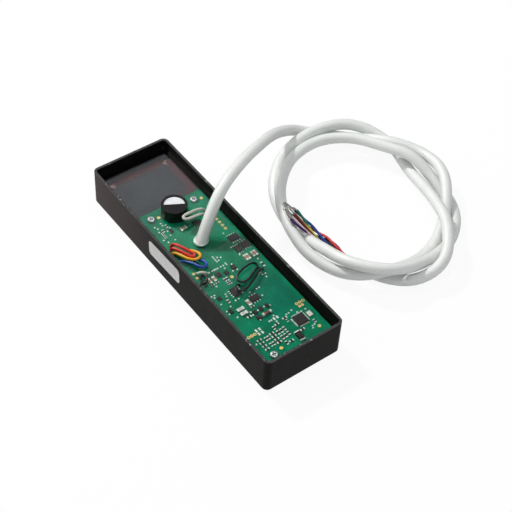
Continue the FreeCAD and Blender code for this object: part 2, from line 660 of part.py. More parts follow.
def make_gold_rings():
    top = BOARD_TOP + PAD_THICKNESS
    rings = [board_ring(x, y, GOLD_RING_OUTER, GOLD_RING_INNER, BOARD_TOP, top) for x, y in GOLD_RINGS]
    return rings + [board_disc(x, y, GOLD_DOT_DIAMETER, BOARD_TOP, top) for x, y in GOLD_DOTS]


def make_solder_dots():
    """Low round spots of solder, each one part of a small joint."""
    top = BOARD_TOP + SOLDER_DOT_HEIGHT
    return [board_disc(x, y, SOLDER_DOT_DIAMETER, BOARD_TOP, top) for x, y in SOLDER_DOTS]


def make_solder_pads():
    column = [board_block(PAD_COLUMN_X, y, PAD_COLUMN_WIDTH, PAD_COLUMN_LENGTH, SOLDER_DOT_HEIGHT)
              for y in PAD_COLUMN_PLACES]
    pads = [board_block(x, y, TEST_PAD_LENGTH, TEST_PAD_WIDTH, PAD_THICKNESS) for x, y in TEST_PAD_PLACES]
    return column + pads


# Chips with leads

def lead_rows(x, y, body_length, body_width, count, pitch, along_x):
    """Gull wing feet on two opposite sides of a chip body."""
    x, y = on_board(x, y)
    feet = []
    for index in range(count):
        offset = (index - (count - 1) / 2) * pitch
        for side in (-1, 1):
            if along_x:
                shift = side * (body_length / 2 + LEAD_FOOT / 2)
                feet.append(block(x + shift, y + offset, LEAD_FOOT, LEAD_WIDTH, LEAD_THICKNESS))
            else:
                shift = side * (body_width / 2 + LEAD_FOOT / 2)
                feet.append(block(x + offset, y + shift, LEAD_WIDTH, LEAD_FOOT, LEAD_THICKNESS))
    return feet


def chip_body(x, y, length, width, height):
    """A moulded body with a small bevel round its top."""
    body = board_block(x, y, length, width, height)
    edges = [e for e in body.Edges if e.BoundBox.ZMin > BOARD_TOP + height / 2]
    return body.makeChamfer(CHIP_BEVEL, edges)


def make_controller_leads():
    """Fine leads on all four sides."""
    leads = []
    x, y = on_board(CONTROLLER_X, CONTROLLER_Y)
    reach = CONTROLLER_SIZE / 2 + CONTROLLER_LEAD_LENGTH / 2
    for index in range(CONTROLLER_LEAD_COUNT):
        offset = (index - (CONTROLLER_LEAD_COUNT - 1) / 2) * CONTROLLER_PITCH
        for side in (-1, 1):
            leads.append(block(x + side * reach, y + offset,
                               CONTROLLER_LEAD_LENGTH, CONTROLLER_LEAD_WIDTH, LEAD_THICKNESS))
            leads.append(block(x + offset, y + side * reach,
                               CONTROLLER_LEAD_WIDTH, CONTROLLER_LEAD_LENGTH, LEAD_THICKNESS))
    return leads


def two_ended(x, y, length, width, along_x, height):
    """The middle and the two end caps of a small chip part."""
    x, y = on_board(x, y)
    cap = END_CAP_SHARE * length
    middle = length - 2 * cap
    shift = (middle + cap) / 2
    if along_x:
        body = block(x, y, middle, width, height)
        caps = [block(x + side * shift, y, cap, width, height) for side in (-1, 1)]
    else:
        body = block(x, y, width, middle, height)
        caps = [block(x, y + side * shift, width, cap, height) for side in (-1, 1)]
    return body, caps


def split_parts(rows, height):
    """All middles and all end caps of a list of small chip parts."""
    bodies = []
    caps = []
    for x, y, length, width, along_x in rows:
        body, ends = two_ended(x, y, length, width, along_x, height)
        bodies.append(body)
        caps.extend(ends)
    return bodies, caps


def lying_cylinder(start, length, diameter):
    """A cylinder along the round diode's axis, which lies along Y on the board."""
    x, y = on_board(ROUND_DIODE_X, ROUND_DIODE_Y)
    centre = BOARD_TOP + ROUND_DIODE_CAP_DIAMETER / 2
    return Part.makeCylinder(diameter / 2, length, Vector(x, y + start, centre), Vector(0, 1, 0))


def make_round_diode():
    middle = ROUND_DIODE_LENGTH - 2 * ROUND_DIODE_CAP_LENGTH
    return lying_cylinder(-middle / 2, middle, ROUND_DIODE_DIAMETER)


def make_round_diode_caps():
    near = -ROUND_DIODE_LENGTH / 2
    far = ROUND_DIODE_LENGTH / 2 - ROUND_DIODE_CAP_LENGTH
    return [lying_cylinder(start, ROUND_DIODE_CAP_LENGTH, ROUND_DIODE_CAP_DIAMETER)
            for start in (near, far)]


def make_power_diode_tabs():
    shift = POWER_DIODE_LENGTH / 2 + POWER_DIODE_TAB / 2
    return [board_block(POWER_DIODE_X + side * shift, POWER_DIODE_Y, POWER_DIODE_TAB, POWER_DIODE_WIDTH,
                        POWER_DIODE_HEIGHT / 2) for side in (-1, 1)]


def wire_loop(places, diameter=LINK_WIRE_DIAMETER):
    """A loop of hook-up wire whose two ends drop straight to the board."""
    points = [Vector(*on_board(x, y), z) for x, y, z in places]
    first = Vector(points[0].x, points[0].y, BOARD_TOP)
    last = Vector(points[-1].x, points[-1].y, BOARD_TOP)
    return tube([first] + points + [last], diameter)


# Cable

def coil_points():
    """Points of the coil, step by step round its centre."""
    points = []
    for index, (radius, height) in enumerate(zip(COIL_RADII, COIL_HEIGHTS)):
        angle = math.radians(COIL_START_ANGLE - index * COIL_STEP)
        x = COIL_CENTRE_X + radius * math.cos(angle)
        y = COIL_CENTRE_Y + radius * math.sin(angle)
        points.append(Vector(x, y, height))
    return points


def lead_points(join):
    """The arc out of the resin, which ends face to face with the coil."""
    return vectors(LEAD_POINTS) + [join]


def make_collar():
    """The small raised foot of resin round the cable."""
    radius = CABLE_DIAMETER / 2
    return Part.makeCone(radius + COLLAR_FLARE, radius, COLLAR_HEIGHT,
                         Vector(ENTRY_X, ENTRY_Y, RESIN_LEVEL))


def make_entry(direction):
    """The buried end of the cable, from the board to the resin's surface, along the cable's lean."""
    start = Vector(ENTRY_X, ENTRY_Y, RESIN_LEVEL)
    depth = (RESIN_LEVEL - BOARD_TOP) / direction.z - CABLE_DIAMETER / 2 * math.tan(UP.getAngle(direction))
    return Part.makeCylinder(CABLE_DIAMETER / 2, depth, start, direction * -1)


# Conductors

def fan_offset(heading, sideways_distance, height):
    """A place beside the fan's middle: to its far side and above it."""
    sideways = unit(heading.cross(UP))
    above = sideways.cross(heading)
    return sideways * sideways_distance + above * height


def fan_path(layer, place, face, direction):
    """One conductor: it leaves the cut cable in its own place and fans out to its tip."""
    count = len(FAN_LAYERS[layer])
    rank = place - (count - 1) / 2
    side = layer - (len(FAN_LAYERS) - 1) / 2
    core = fan_offset(direction, rank * CABLE_CORE_PITCH, side * CABLE_CORE_PITCH)
    points = [face + core, face + core + direction * CABLE_DIAMETER / 2]
    middle = [face] + vectors(FAN_POINTS)
    for index, shift in enumerate(FAN_SHIFTS[layer], start=1):
        following = middle[min(index + 1, len(middle) - 1)]
        heading = unit(following - middle[index - 1])
        offset = fan_offset(heading, shift + rank * FAN_PITCH, layer * FAN_LAYER_STEP)
        points.append(middle[index] + offset)
    return points


def make_tip(points):
    """The bare tinned end of a conductor."""
    direction = unit(points[-1] - points[-2])
    return Part.makeCylinder(TINNED_DIAMETER / 2, TINNED_LENGTH, points[-1], direction)


# Assembly

nodes = {}

coil = coil_points()
join = (Vector(*LEAD_POINTS[-1]) + coil[0]) * 0.5
lead = lead_points(join)
coil_route = [join] + coil
lead_direction = unit(lead[1] - lead[0])
nodes["cable_lead"] = [tube(lead, CABLE_DIAMETER)]
nodes["cable_coil"] = [tube(coil_route, CABLE_DIAMETER)]
nodes["cable_entry"] = [make_entry(lead_direction)]
nodes["resin_collar"] = [make_collar().cut(nodes["cable_lead"] + nodes["cable_entry"])]

end_direction = unit(coil[-1] - coil[-2])
tips = []
for layer, names in enumerate(FAN_LAYERS):
    for place, name in enumerate(names):
        path = fan_path(layer, place, coil[-1], end_direction)
        nodes[name] = [tube(path, CONDUCTOR_DIAMETER)]
        tips.append(make_tip(path))
        describe(name, path, CONDUCTOR_DIAMETER, nodes[name][0])
nodes["conductor_tips"] = tips

nodes["red_wire_loop"] = [wire_loop(RED_LOOP)]
nodes["yellow_wire_loop"] = [wire_loop(YELLOW_LOOP)]
nodes["blue_wire_loop"] = [wire_loop(BLUE_LOOP)]
nodes["white_wire_loop"] = [wire_loop(WHITE_LOOP)]
nodes["white_wire_stub"] = [wire_loop(WHITE_STUB)]
nodes["black_wire_loop"] = [wire_loop(BLACK_LOOP, BLACK_WIRE_DIAMETER)]
nodes["black_buried_loop"] = [wire_loop(BLACK_LOW_LOOP, BLACK_WIRE_DIAMETER)]
nodes["black_wire_ring"] = [wire_loop(BLACK_RING_LOOP, BLACK_WIRE_DIAMETER)]

nodes["housing_tray"] = [make_tray()]
nodes["light_pipe"] = [make_light_pipe()]
nodes["status_light"] = [make_status_light()]
nodes["side_label"] = [make_label()]
nodes["buzzer_pins"] = make_buzzer_pins()
nodes["main_board"] = [make_main_board(nodes["buzzer_pins"])]
nodes["antenna_board"] = [make_antenna_board()]
nodes["antenna_winding"] = make_antenna_winding()
nodes["antenna_joints"] = make_antenna_joints()
nodes["board_screws"] = [make_screw(x, y) for x, y in SCREW_PLACES]
nodes["buzzer_case"] = [make_buzzer_case()]
nodes["buzzer_disc"] = [make_buzzer_disc()]
nodes["buzzer_ceramic"] = [make_buzzer_ceramic()]
nodes["buzzer_sticker"] = [make_buzzer_sticker()]
nodes["header_rings"] = make_header_rings()
nodes["test_points"] = make_test_points()
nodes["gold_rings"] = make_gold_rings()
nodes["solder_dots"] = make_solder_dots()
nodes["solder_pads"] = make_solder_pads()
nodes["microcontroller"] = [chip_body(CONTROLLER_X, CONTROLLER_Y, CONTROLLER_SIZE, CONTROLLER_SIZE,
                                      CHIP_HEIGHT)]
nodes["microcontroller_leads"] = make_controller_leads()
nodes["chip_leads"] = []
for name, (x, y, length, width, pitch, along_x) in CHIPS.items():
    nodes[name] = [chip_body(x, y, length, width, CHIP_HEIGHT)]
    nodes["chip_leads"] += lead_rows(x, y, length, width, CHIP_LEAD_COUNTS[name], pitch, along_x)
nodes["transistors"] = [chip_body(x, y, length, width, SMALL_CHIP_HEIGHT)
                        for x, y, length, width in TRANSISTORS]
nodes["crystal"] = [board_block(CRYSTAL_X, CRYSTAL_Y, CRYSTAL_LENGTH, CRYSTAL_WIDTH, CRYSTAL_HEIGHT)]
nodes["power_diode"] = [chip_body(POWER_DIODE_X, POWER_DIODE_Y, POWER_DIODE_LENGTH,
                                  POWER_DIODE_WIDTH, POWER_DIODE_HEIGHT)]
nodes["power_diode_tabs"] = make_power_diode_tabs()
nodes["round_diode"] = [make_round_diode()]
nodes["round_diode_caps"] = make_round_diode_caps()
nodes["tan_capacitors"], tan_caps = split_parts(TAN_CAPACITORS, CAPACITOR_HEIGHT)
nodes["large_capacitors"], large_caps = split_parts(SILVER_CAPACITORS, CAPACITOR_HEIGHT)
nodes["chip_resistors"], small_caps = split_parts(SMALL_PARTS, RESISTOR_HEIGHT)
nodes["end_caps"] = tan_caps + large_caps + small_caps

# Pieces that the resin doesn't touch, or whose space in it is cut with another piece.
CLEAR_OF_RESIN = ("housing_tray", "side_label", "cable_coil", "resin_collar",
                  "buzzer_case", "buzzer_disc", "buzzer_ceramic", "buzzer_sticker")
resin = rounded_slab(INNER_LENGTH, INNER_WIDTH, INNER_RADIUS, TRAY_FLOOR, RESIN_LEVEL)
buried = [board_disc(BUZZER_X, BUZZER_Y, BUZZER_DIAMETER, BOARD_TOP, RESIN_LEVEL)]
buried += make_posts() + [screw_clearance(x, y) for x, y in SCREW_PLACES]
for name, solids in nodes.items():
    if name not in CLEAR_OF_RESIN and not name.startswith("conductor"):
        buried += solids
nodes["potting_resin"] = [resin.cut(buried)]

for name, solids in nodes.items():
    save(name, solids)

describe("cable_lead", lead, CABLE_DIAMETER, nodes["cable_lead"][0])
describe("cable_coil", coil_route, CABLE_DIAMETER, nodes["cable_coil"][0])
self_gap = least_gap(lead[:-1] + coil, CABLE_DIAMETER, LEAST_STRETCH_APART)
print("least gap of the cable to itself", round(self_gap, 2))
print("nodes", len(nodes))
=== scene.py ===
# Slim embedded card reader, open back up, with its cable coiled beside it.
# Metres, in the frame of the solid model: the tray lies face down, centred on the origin.
# +X runs along the tray away from the antenna end, +Y across it towards the coil, +Z is up.

import json
import math

import bmesh
import bpy
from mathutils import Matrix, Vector


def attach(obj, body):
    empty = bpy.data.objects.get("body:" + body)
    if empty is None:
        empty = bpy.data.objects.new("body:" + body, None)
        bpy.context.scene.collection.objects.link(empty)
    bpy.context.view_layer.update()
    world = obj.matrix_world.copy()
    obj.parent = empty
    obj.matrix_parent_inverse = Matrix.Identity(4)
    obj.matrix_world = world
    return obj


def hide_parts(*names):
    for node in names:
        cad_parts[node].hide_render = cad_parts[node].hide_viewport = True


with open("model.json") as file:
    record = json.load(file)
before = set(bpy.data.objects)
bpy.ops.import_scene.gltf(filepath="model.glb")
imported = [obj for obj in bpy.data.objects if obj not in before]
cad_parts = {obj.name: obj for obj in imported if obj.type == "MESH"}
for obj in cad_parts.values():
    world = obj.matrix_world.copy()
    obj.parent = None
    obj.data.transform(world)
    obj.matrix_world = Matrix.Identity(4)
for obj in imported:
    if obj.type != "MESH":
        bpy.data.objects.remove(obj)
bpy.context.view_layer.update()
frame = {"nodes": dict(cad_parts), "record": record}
nodes = frame["nodes"]

MM = 0.001
UP = Vector((0, 0, 1))

# Camera of the photograph
CAMERA_PLACE = (0.32898, -0.24217, 0.46675)
CAMERA_TURN = (41.892, -2.654, 53.674)
CAMERA_LENS = 90.58
CAMERA_SENSOR = 36.0
CAMERA_NEAR = 0.01
CAMERA_FAR = 20.0

# Inside of the tray and its resin
RESIN_LEVEL = 15.2
RESIN_BOTTOM = 1.95
INNER_HALF_LENGTH = 71.2
INNER_HALF_WIDTH = 20.2
INNER_RADIUS = 1.7
# Centres of the inside's round corners
CORNER_X = INNER_HALF_LENGTH - INNER_RADIUS
CORNER_Y = INNER_HALF_WIDTH - INNER_RADIUS

# Cable, in millimetres
CABLE_DIAMETER = 5.8
CONDUCTOR_DIAMETER = 1.3
LEAD_POINTS = [
    (-8.0, -0.6, 15.2),
    (-11.0, 6.0, 25.5),
    (-16.5, 16.5, 34.0),
    (-24.5, 33.5, 35.0),
    (-32.5, 50.0, 31.0),
    (-40.5, 64.5, 24.5),
    (-45.8, 75.0, 17.6),
    (-49.8, 84.5, 10.8),
    (-50.6, 92.3, 5.8),
    (-46.2, 99.6, 3.3),
]
# The coil goes clockwise round its centre in steps of one angle.
# Each step has its own distance from the centre and its own height.
COIL_CENTRE = (7.0, 87.0)
COIL_START_ANGLE = -214.0
COIL_STEP = 24.0
COIL_RADII = [
    47.5, 42.5, 47.5, 45.5, 43.1, 43.5, 46.0, 52.5, 54.0, 49.0,
    44.5, 42.0, 42.0, 44.5, 45.0, 41.5, 36.5, 38.5, 43.0, 48.5,
    50.3, 51.5, 57.5, 53.0, 41.5, 39.5, 42.5, 46.5, 51.0, 52.0,
    54.0, 49.5, 36.5, 34.0, 36.0, 46.5, 61.0, 57.0, 41.5,
]
COIL_HEIGHTS = [
    3.5, 10.5, 8.5, 13.0, 7.6, 3.0, 3.0, 10.5, 7.0, 6.0,
    9.5, 9.5, 9.0, 8.0, 9.0, 10.0, 11.0, 12.5, 3.5, 3.0,
    3.5, 7.5, 15.0, 15.0, 8.0, 3.0, 3.0, 3.0, 6.0, 10.0,
    9.5, 3.5, 3.0, 6.0, 10.5, 13.5, 10.0, 3.0, 3.0,
]

# The conductors leave the cut cable in two layers and then twist over each other.
# Each has its own points, from near the cut end of the cable to its stripped tip.
CORE_LAYERS = [
    ("conductor_pink", "conductor_yellow", "conductor_blue", "conductor_green"),
    ("conductor_purple", "conductor_black", "conductor_brown", "conductor_red"),
]
CONDUCTOR_POINTS = {
    "conductor_green": [
        (28.7, 56.3, 1.6), (21.4, 56.5, 1.7), (16.8, 54.5, 2.4), (12.0, 52.7, 4.8), (7.4, 51.7, 8.9),
        (3.8, 50.3, 13.0), (2.3, 48.8, 16.0),
    ],
    "conductor_blue": [
        (29.1, 55.2, 3.0), (22.2, 54.9, 3.6), (15.7, 54.7, 4.9), (8.0, 54.8, 6.6), (4.6, 52.5, 9.0),
        (2.5, 50.8, 11.8), (0.7, 48.7, 14.6),
    ],
    "conductor_yellow": [
        (29.0, 54.9, 2.2), (22.5, 54.1, 2.8), (18.0, 52.3, 4.4), (14.0, 51.9, 6.4), (9.6, 51.5, 7.6),
        (6.2, 50.2, 9.6), (3.6, 48.9, 12.0), (1.7, 47.4, 14.4),
    ],
    "conductor_brown": [
        (29.2, 55.0, 4.4), (24.3, 53.8, 4.8), (19.8, 52.8, 4.8), (15.6, 51.1, 6.4), (10.9, 49.7, 9.0),
        (6.6, 48.6, 12.0), (3.5, 46.6, 15.6),
    ],
    "conductor_red": [
        (28.7, 56.8, 4.8), (22.2, 56.9, 5.0), (16.6, 57.2, 4.8), (12.7, 56.1, 4.0), (8.4, 54.5, 4.6),
        (5.4, 51.7, 7.6), (3.7, 49.2, 10.6), (2.2, 46.7, 13.4),
    ],
    "conductor_black": [
        (28.6, 56.5, 3.2), (22.7, 56.6, 3.4), (17.8, 56.3, 3.2), (13.6, 54.8, 3.2), (11.8, 50.9, 6.6),
        (7.9, 49.0, 9.8), (4.9, 47.5, 11.8), (2.3, 45.9, 14.2),
    ],
    "conductor_purple": [
        (28.4, 57.6, 3.8), (23.2, 57.9, 4.4), (17.1, 57.6, 3.2), (15.1, 53.9, 4.2), (14.4, 49.8, 7.6),
        (10.9, 46.2, 11.6), (6.9, 44.2, 13.4), (4.2, 43.7, 14.4),
    ],
    "conductor_pink": [
        (28.3, 58.0, 1.8), (22.4, 57.1, 1.8), (17.8, 54.6, 2.6), (15.4, 50.6, 6.6), (12.7, 47.9, 9.8),
        (9.2, 46.0, 12.6), (3.9, 44.6, 15.4),
    ],
}
# How far each bare end leans from its conductor's own line, and its length.
TIP_LEANS = {
    "conductor_green": ((0.1, -0.5, -0.5), 7.6),
    "conductor_blue": ((0.0, 0.2, -0.3), 6.6),
    "conductor_yellow": ((-0.2, 0.1, -0.2), 7.2),
    "conductor_brown": ((-0.1, 0.3, -0.6), 7.0),
    "conductor_red": ((-0.2, 0.4, -0.4), 6.2),
    "conductor_black": ((-0.3, 0.3, -0.3), 7.4),
    "conductor_purple": ((-0.2, 0.3, 0.1), 6.8),
    "conductor_pink": ((-0.4, 0.2, -0.1), 7.0),
}
CABLE_CORE_PITCH = 1.4
STRAND_DIAMETER = 0.3
STRAND_CIRCLE = 0.3
STRAND_TURNS = 0.8
STRAND_STEPS = 6
STRAND_COUNT = 6


# Materials

def start_material(name):
    """A new material with its Principled shader, which stays joined to the output."""
    material = bpy.data.materials.new(name)
    material.use_nodes = True
    tree = material.node_tree
    shader = tree.nodes["Principled BSDF"]
    return material, tree, shader


def add_node(tree, kind, **values):
    """A node with its input sockets set by name."""
    node = tree.nodes.new(kind)
    for key, value in values.items():
        node.inputs[key.replace("_", " ")].default_value = value
    return node


def calculate(tree, operation, first, second):
    """A sum on two values, each a socket or a number."""
    node = tree.nodes.new("ShaderNodeMath")
    node.operation = operation
    for socket, value in zip(node.inputs, (first, second)):
        if isinstance(value, bpy.types.NodeSocket):
            tree.links.new(value, socket)
        else:
            socket.default_value = value
    return node.outputs[0]


def blend_colours(tree, amount, first, second):
    """The first colour where the amount is nought, the second where it is one."""
    mix = tree.nodes.new("ShaderNodeMix")
    mix.data_type = "RGBA"
    tree.links.new(amount, mix.inputs["Factor"])
    for name, value in (("A", first), ("B", second)):
        if isinstance(value, bpy.types.NodeSocket):
            tree.links.new(value, mix.inputs[name])
        else:
            mix.inputs[name].default_value = (*value, 1.0)
    return mix.outputs["Result"]


def mix_shaders(tree, amount, first, second):
    """The first shader where the amount is nought, the second where it is one."""
    mix = tree.nodes.new("ShaderNodeMixShader")
    tree.links.new(amount, mix.inputs["Fac"])
    tree.links.new(first, mix.inputs[1])
    tree.links.new(second, mix.inputs[2])
    return mix.outputs["Shader"]


def axes_of(tree, kind="Object"):
    """The parts of a coordinate along each axis. Object is the place on the object, in metres."""
    place = tree.nodes.new("ShaderNodeTexCoord")
    split = tree.nodes.new("ShaderNodeSeparateXYZ")
    tree.links.new(place.outputs[kind], split.inputs["Vector"])
    return split.outputs


def remap(tree, source, before, after=(0.0, 1.0), smooth=False):
    """The source's range before becomes the range after, and nothing goes past its ends."""
    node = add_node(tree, "ShaderNodeMapRange", From_Min=before[0], From_Max=before[1],
                    To_Min=after[0], To_Max=after[1])
    if smooth:
        node.interpolation_type = "SMOOTHSTEP"
    tree.links.new(source, node.inputs["Value"])
    return node.outputs["Result"]


def step_up(tree, source, edges):
    """Nought up to the first place in millimetres, and one from the second on."""
    return remap(tree, source, (edges[0] * MM, edges[1] * MM))


NOISE_ROUGHNESS = 0.55


def noise_from(tree, scale, detail, roughness=NOISE_ROUGHNESS):
    """Noise in the object's own metres. The scale is in features per millimetre."""
    place = tree.nodes.new("ShaderNodeTexCoord")
    noise = add_node(tree, "ShaderNodeTexNoise", Scale=scale / MM, Detail=detail, Roughness=roughness)
    tree.links.new(place.outputs["Object"], noise.inputs["Vector"])
    return noise.outputs["Fac"]


# A new stop of a ramp starts here, and is then moved to its own place.
NEW_STOP = 0.5


def colour_ramp(tree, source, stops):
    """A ramp from rows of position and colour."""
    ramp = tree.nodes.new("ShaderNodeValToRGB")
    elements = ramp.color_ramp.elements
    while len(elements) < len(stops):
        elements.new(NEW_STOP)
    for element, (position, colour) in zip(elements, stops):
        element.position = position
        element.color = (*colour, 1.0)
    tree.links.new(source, ramp.inputs["Fac"])
    return ramp.outputs["Color"]


BLOTCH_STOPS = (0.35, 0.65)
BLOTCH_DETAIL = 4.0
GRAIN_DETAIL = 6.0
COAT_ROUGHNESS = 0.08
BEVEL_SAMPLES = 4


def surface(name, colours, blotch, roughness, grain=3.0, bump=0.0, metallic=0.0, coat=0.0, sheen=0.0,
            edge=0.0, gloss=0.5):
    """A finished surface: two colours in soft blotches, uneven gloss and a fine grain.

    Blotch and grain are in features per millimetre, bump and edge in millimetres.
    """
    material, tree, shader = start_material(name)
    noise = noise_from(tree, blotch, BLOTCH_DETAIL)
    blotches = colour_ramp(tree, noise, list(zip(BLOTCH_STOPS, colours)))
    tree.links.new(blotches, shader.inputs["Base Color"])
    fine = noise_from(tree, grain, GRAIN_DETAIL)
    tree.links.new(remap(tree, fine, (0.0, 1.0), roughness), shader.inputs["Roughness"])
    shader.inputs["Metallic"].default_value = metallic
    shader.inputs["Coat Weight"].default_value = coat
    shader.inputs["Coat Roughness"].default_value = COAT_ROUGHNESS
    shader.inputs["Sheen Weight"].default_value = sheen
    shader.inputs["Specular IOR Level"].default_value = gloss
    if bump or edge:
        relief = add_node(tree, "ShaderNodeBump", Distance=bump * MM, Strength=1.0)
        tree.links.new(fine, relief.inputs["Height"])
        tree.links.new(relief.outputs["Normal"], shader.inputs["Normal"])
        if edge:
            soften = tree.nodes.new("ShaderNodeBevel")
            soften.samples = BEVEL_SAMPLES
            soften.inputs["Radius"].default_value = edge * MM
            tree.links.new(soften.outputs["Normal"], relief.inputs["Normal"])
    return material


def colour_of(material):
    """The node tree of a finished surface, its colour's socket and what that is joined to."""
    tree = material.node_tree
    socket = tree.nodes["Principled BSDF"].inputs["Base Color"]
    return tree, socket, socket.links[0].from_socket


# Tray: places in millimetres, patches and nicks as parts of a noise. The rim top's lighter grey is partly
# wear and partly a painted highlight, and the near outer wall's lighter brown towards the antenna end is
# painted light.
# Each noise has its features per millimetre, its detail and its roughness.
RIM_HEIGHTS = (20.15, 20.45)
WORN_HIGHLIGHT_NOISE = (0.9, 6.0, 0.7)
WORN_HIGHLIGHT_PATCHES = (0.35, 0.65)
WORN_HIGHLIGHT_LEAST = 0.35
# Grey of the rim's top: partly wear, partly a painted highlight.
WORN_HIGHLIGHT_GREY = (0.085, 0.086, 0.088)
NICK_NOISE = (0.55, 2.0, 0.6)
NICK_EDGES = (0.66, 0.72)
NICK_GREY = (0.32, 0.33, 0.34)
# Painted light: the near outer wall gets lighter and browner towards the antenna end.
LIT_WALL_SIDE = (-20.5, -21.3)
LIT_WALL_END = (-10.0, -68.0)
PAINTED_WALL_LIGHT_BROWN = (0.058, 0.045, 0.043)


def tray_material():
    """Black moulded plastic whose rim top is lighter grey, partly from wear and partly a painted
    highlight, with small nicks and painted light on the near outer wall towards the antenna end.
    """
    material = surface("tray_plastic_look", [(0.0048, 0.0040, 0.0036), (0.0092, 0.0078, 0.0071)],
                       blotch=0.25, roughness=(0.44, 0.60), grain=2.2, bump=0.03, edge=0.25, gloss=0.05)
    tree, colour, plain = colour_of(material)
    place = axes_of(tree)
    rim = step_up(tree, place["Z"], RIM_HEIGHTS)
    # Lighter grey on the rim top in uneven patches: partly wear, partly a painted highlight.
    patches = remap(tree, noise_from(tree, *WORN_HIGHLIGHT_NOISE), WORN_HIGHLIGHT_PATCHES, (WORN_HIGHLIGHT_LEAST, 1.0))
    worn_highlight = calculate(tree, "MULTIPLY", rim, patches)
    # Painted light on the near outer wall, stronger towards the antenna end.
    painted_wall_light = calculate(tree, "MULTIPLY", step_up(tree, place["Y"], LIT_WALL_SIDE),
                      step_up(tree, place["X"], LIT_WALL_END))
    grey = blend_colours(tree, worn_highlight, blend_colours(tree, painted_wall_light, plain, PAINTED_WALL_LIGHT_BROWN), WORN_HIGHLIGHT_GREY)
    spots = remap(tree, noise_from(tree, *NICK_NOISE), NICK_EDGES)
    nicks = calculate(tree, "MULTIPLY", rim, spots)
    tree.links.new(blend_colours(tree, nicks, grey, NICK_GREY), colour)
    return material


RESIN_TINT = (0.93, 0.98, 0.96, 1.0)
RESIN_SHADOW_TINT = (0.90, 0.96, 0.94, 1.0)
RESIN_ROUGHNESS = 0.02
RESIN_INDEX = 1.5


def resin_material():
    """Clear set resin that lets the lamps through to the boards."""
    material, tree, shader = start_material("clear_resin_look")
    shader.inputs["Base Color"].default_value = RESIN_TINT
    shader.inputs["Transmission Weight"].default_value = 1.0
    shader.inputs["Roughness"].default_value = RESIN_ROUGHNESS
    shader.inputs["IOR"].default_value = RESIN_INDEX
    clear = add_node(tree, "ShaderNodeBsdfTransparent", Color=RESIN_SHADOW_TINT)
    path = tree.nodes.new("ShaderNodeLightPath")
    mixed = mix_shaders(tree, path.outputs["Is Shadow Ray"], shader.outputs["BSDF"], clear.outputs["BSDF"])
    tree.links.new(mixed, tree.nodes["Material Output"].inputs["Surface"])
    return material


# Painted shade: the vinyl's colour darkens towards its outline.
OUTLINE_PAINTED_SHADE = (0.44, 0.45, 0.44)
OUTLINE_POWER = 2.0


def cable_material():
    """White vinyl with painted shade that makes it a little darker towards its outline."""
    material = surface("cable_white_look", [(0.765, 0.785, 0.760), (0.805, 0.822, 0.798)], blotch=0.06,
                       roughness=(0.34, 0.48), grain=1.0, bump=0.02, sheen=0.05)
    tree, colour, plain = colour_of(material)
    # Painted shade, stronger where the surface turns away from the view.
    slant = tree.nodes.new("ShaderNodeLayerWeight").outputs["Facing"]
    outline_shade = calculate(tree, "POWER", slant, OUTLINE_POWER)
    tree.links.new(blend_colours(tree, outline_shade, plain, OUTLINE_PAINTED_SHADE), colour)
    return material


INSULATION_GREEN = (0.01, 0.20, 0.07)
STRIPE_YELLOW = (0.70, 0.68, 0.04)
# Where round the wire each colour starts and ends, with a soft step between them.
STRIPE_STOPS = [
    (0.0, INSULATION_GREEN), (0.10, INSULATION_GREEN), (0.14, STRIPE_YELLOW), (0.30, STRIPE_YELLOW),
    (0.34, INSULATION_GREEN), (0.60, INSULATION_GREEN), (0.64, STRIPE_YELLOW), (0.80, STRIPE_YELLOW),
    (0.84, INSULATION_GREEN),
]
STRIPED_ROUGHNESS = 0.35
VINYL_DULL_SHARE = 0.82
VINYL_BLOTCH = 0.5
VINYL_ROUGHNESS = (0.28, 0.42)


def striped_material():
    """Green insulation with thin yellow stripes along it."""
    material, tree, shader = start_material("wire_striped_look")
    stripes = colour_ramp(tree, axes_of(tree, "UV")["Y"], STRIPE_STOPS)
    tree.links.new(stripes, shader.inputs["Base Color"])
    shader.inputs["Roughness"].default_value = STRIPED_ROUGHNESS
    return material


def vinyl(name, colour):
    """Smooth wire insulation with slight unevenness."""
    dull = tuple(VINYL_DULL_SHARE * part for part in colour)
    return surface(name, [dull, colour], VINYL_BLOTCH, VINYL_ROUGHNESS, grain=1.5, bump=0.01)


def cell_distance(tree, scale, feature="F1", shape="EUCLIDEAN"):
    """How far a place is from the middle of its cell, or with F2 from the next cell's."""
    place = tree.nodes.new("ShaderNodeTexCoord")
    cells = add_node(tree, "ShaderNodeTexVoronoi", Scale=scale / MM)
    cells.feature = feature
    cells.distance = shape
    tree.links.new(place.outputs["Object"], cells.inputs["Vector"])
    return cells.outputs["Distance"]


def cell_edge(tree, scale, shape, width):
    """One on the lines between cells, and nought inside them."""
    own = cell_distance(tree, scale, "F1", shape)
    other = cell_distance(tree, scale, "F2", shape)
    return calculate(tree, "LESS_THAN", calculate(tree, "SUBTRACT", other, own), width)


# Green board. Scales are in features per millimetre and widths are parts of a cell.
PLANE_ALONG = ((12.0, 30.0), (58.0, 44.0))
PLANE_ACROSS = ((-9.0, 4.0), (18.5, 15.5))
PLANE_SHARE = 0.55
PLANE_GREEN = (0.0, 0.090, 0.066)
AREA_SCALE = 0.11
AREA_GAP_WIDTH = 0.04
AREA_GAP_SHARE = 0.12
AREA_GAP_GREEN = (0.0, 0.062, 0.034)
TRACK_SCALE = 0.42
TRACK_WIDTH = 0.10
TRACK_SHARE = 0.25
TRACK_GREEN = (0.004, 0.25, 0.15)
TRACK_PATCH_NOISE = (0.10, 2.0)
TRACK_PATCHES = (0.45, 0.6)
VIA_SCALE = 0.36
VIA_RADIUS = 0.07
VIA_SHARE = 0.5
VIA_COLOUR = (0.22, 0.30, 0.20)


def between(tree, source, edges):
    """One between a rising and a falling edge, both in millimetres."""
    rising, falling = edges
    return calculate(tree, "MULTIPLY", step_up(tree, source, rising), step_up(tree, source, falling))


